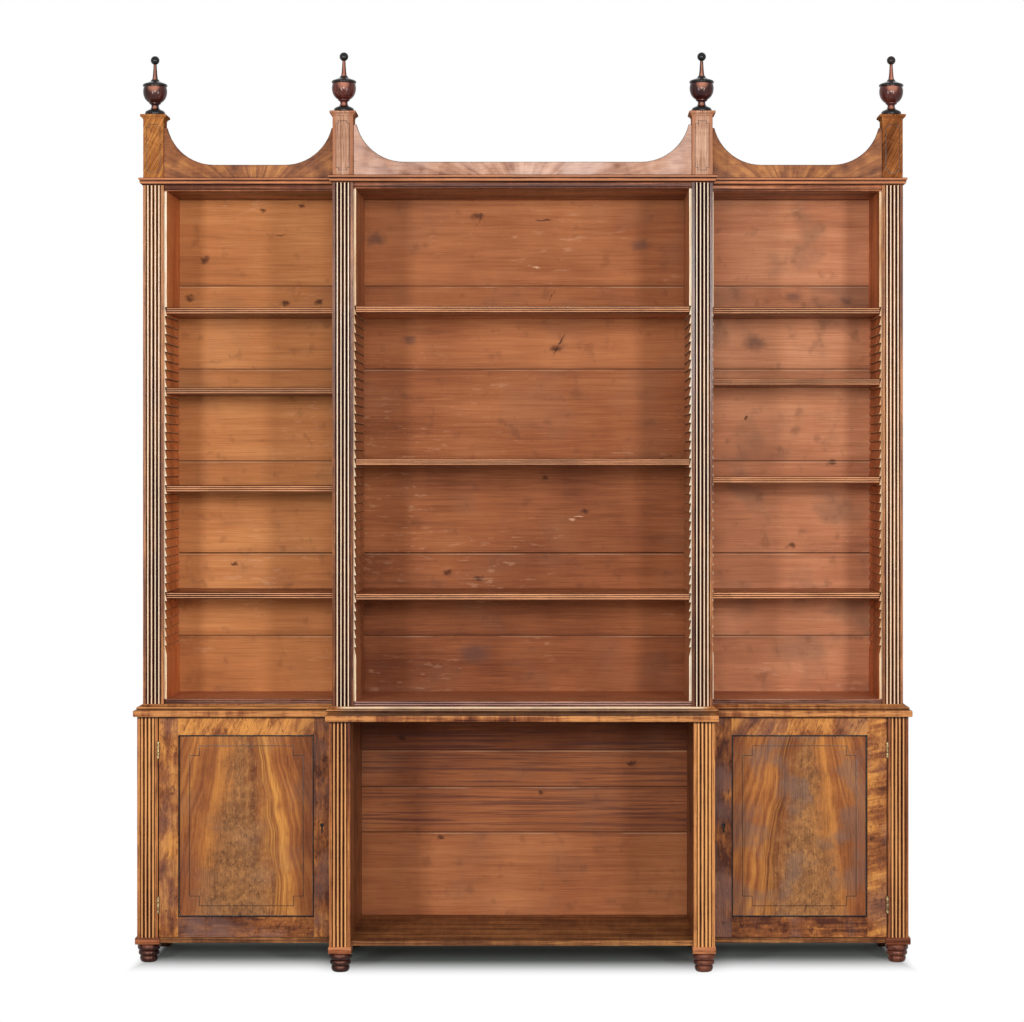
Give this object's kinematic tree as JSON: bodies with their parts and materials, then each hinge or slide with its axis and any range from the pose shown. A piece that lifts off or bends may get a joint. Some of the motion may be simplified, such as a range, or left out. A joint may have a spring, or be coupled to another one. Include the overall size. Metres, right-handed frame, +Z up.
{
  "type": "breakfront bookcase",
  "caption": "Free-standing breakfront bookcase: open shelves on toothed sides above a base with framed cupboard doors and an open middle bay, under a swept crest with turned urns.",
  "frame": {"origin": "on the floor, under the middle of the overall width and depth", "axes": "+X to the viewer's right, +Y to the back, +Z up; the front faces -Y"},
  "size_m": [2.326, 0.5, 2.72],
  "materials": {
    "case_wood": "waxed mahogany, straight grain",
    "reeded_wood": "waxed mahogany, gold to purple-brown streaks",
    "door_wood": "polished red-brown mahogany",
    "panel_wood": "polished figured mahogany with an inlaid line",
    "crest_wood": "waxed, slightly faded mahogany",
    "turned_wood": "polished turned mahogany",
    "urn_wood": "polished, part ebonised",
    "shelf_wood": "waxed shelf board",
    "lining_wood": "waxed toothed lining",
    "top_wood": "waxed mahogany top",
    "back_wood": "stained pine boards, dry",
    "carcass_wood": "stained pine, worn",
    "brass": "worn brass"
  },
  "bodies": {
    "carcass": {"base_bottom_board": "carcass_wood", "base_top_board": "top_wood", "base_back_boards": "back_wood", "upper_back_boards": "back_wood", "upper_bottom_board": "case_wood", "upper_top_and_cornice": "case_wood", "base_end_left": "case_wood", "base_division_left": "carcass_wood", "upper_end_left": "lining_wood", "upper_division_left": "lining_wood", "hinge_case_leaf_left_lower": "brass", "hinge_case_leaf_left_upper": "brass", "base_end_right": "case_wood", "base_division_right": "carcass_wood", "upper_end_right": "lining_wood", "upper_division_right": "lining_wood", "hinge_case_leaf_right_lower": "brass", "hinge_case_leaf_right_upper": "brass", "base_pilaster_outer_left": "reeded_wood", "upper_pilaster_outer_left": "reeded_wood", "foot_outer_left": "turned_wood", "pedestal_outer_left": "crest_wood", "finial_outer_left": "urn_wood", "base_pilaster_inner_left": "reeded_wood", "upper_pilaster_inner_left": "reeded_wood", "foot_inner_left": "turned_wood", "pedestal_inner_left": "crest_wood", "finial_inner_left": "urn_wood", "base_pilaster_inner_right": "reeded_wood", "upper_pilaster_inner_right": "reeded_wood", "foot_inner_right": "turned_wood", "pedestal_inner_right": "crest_wood", "finial_inner_right": "urn_wood", "base_pilaster_outer_right": "reeded_wood", "upper_pilaster_outer_right": "reeded_wood", "foot_outer_right": "turned_wood", "pedestal_outer_right": "crest_wood", "finial_outer_right": "urn_wood", "crest_panel_left": "crest_wood", "crest_panel_centre": "crest_wood", "crest_panel_right": "crest_wood"},
    "door_left": {"door_frame_left": "door_wood", "door_panel_left": "panel_wood", "hinge_door_leaf_left_lower": "brass", "hinge_door_leaf_left_upper": "brass"},
    "door_right": {"door_frame_right": "door_wood", "door_panel_right": "panel_wood", "hinge_door_leaf_right_lower": "brass", "hinge_door_leaf_right_upper": "brass"},
    "shelf_left_1": {"shelf_left_1": "shelf_wood"},
    "shelf_left_2": {"shelf_left_2": "shelf_wood"},
    "shelf_left_3": {"shelf_left_3": "shelf_wood"},
    "shelf_left_4": {"shelf_left_4": "shelf_wood"},
    "shelf_centre_1": {"shelf_centre_1": "shelf_wood"},
    "shelf_centre_2": {"shelf_centre_2": "shelf_wood"},
    "shelf_centre_3": {"shelf_centre_3": "shelf_wood"},
    "shelf_right_1": {"shelf_right_1": "shelf_wood"},
    "shelf_right_2": {"shelf_right_2": "shelf_wood"},
    "shelf_right_3": {"shelf_right_3": "shelf_wood"},
    "shelf_right_4": {"shelf_right_4": "shelf_wood"}
  },
  "joints": [
    {"name": "door_left_hinge", "type": "hinge", "parent": "carcass", "child": "door_left", "pos_m": [-1.0884, -0.0863, 0.4], "axis": [0, 0, -1], "range_deg": [0, 110]},
    {"name": "door_right_hinge", "type": "hinge", "parent": "carcass", "child": "door_right", "pos_m": [1.0884, -0.0863, 0.4], "axis": [0, 0, 1], "range_deg": [0, 110]},
    {"name": "shelf_left_1_slide", "type": "slide", "parent": "carcass", "child": "shelf_left_1", "axis": [0, -1, 0], "range_m": [0, 0.3]},
    {"name": "shelf_left_2_slide", "type": "slide", "parent": "carcass", "child": "shelf_left_2", "axis": [0, -1, 0], "range_m": [0, 0.3]},
    {"name": "shelf_left_3_slide", "type": "slide", "parent": "carcass", "child": "shelf_left_3", "axis": [0, -1, 0], "range_m": [0, 0.3]},
    {"name": "shelf_left_4_slide", "type": "slide", "parent": "carcass", "child": "shelf_left_4", "axis": [0, -1, 0], "range_m": [0, 0.3]},
    {"name": "shelf_centre_1_slide", "type": "slide", "parent": "carcass", "child": "shelf_centre_1", "axis": [0, -1, 0], "range_m": [0, 0.38]},
    {"name": "shelf_centre_2_slide", "type": "slide", "parent": "carcass", "child": "shelf_centre_2", "axis": [0, -1, 0], "range_m": [0, 0.38]},
    {"name": "shelf_centre_3_slide", "type": "slide", "parent": "carcass", "child": "shelf_centre_3", "axis": [0, -1, 0], "range_m": [0, 0.38]},
    {"name": "shelf_right_1_slide", "type": "slide", "parent": "carcass", "child": "shelf_right_1", "axis": [0, -1, 0], "range_m": [0, 0.3]},
    {"name": "shelf_right_2_slide", "type": "slide", "parent": "carcass", "child": "shelf_right_2", "axis": [0, -1, 0], "range_m": [0, 0.3]},
    {"name": "shelf_right_3_slide", "type": "slide", "parent": "carcass", "child": "shelf_right_3", "axis": [0, -1, 0], "range_m": [0, 0.3]},
    {"name": "shelf_right_4_slide", "type": "slide", "parent": "carcass", "child": "shelf_right_4", "axis": [0, -1, 0], "range_m": [0, 0.3]}
  ]
}
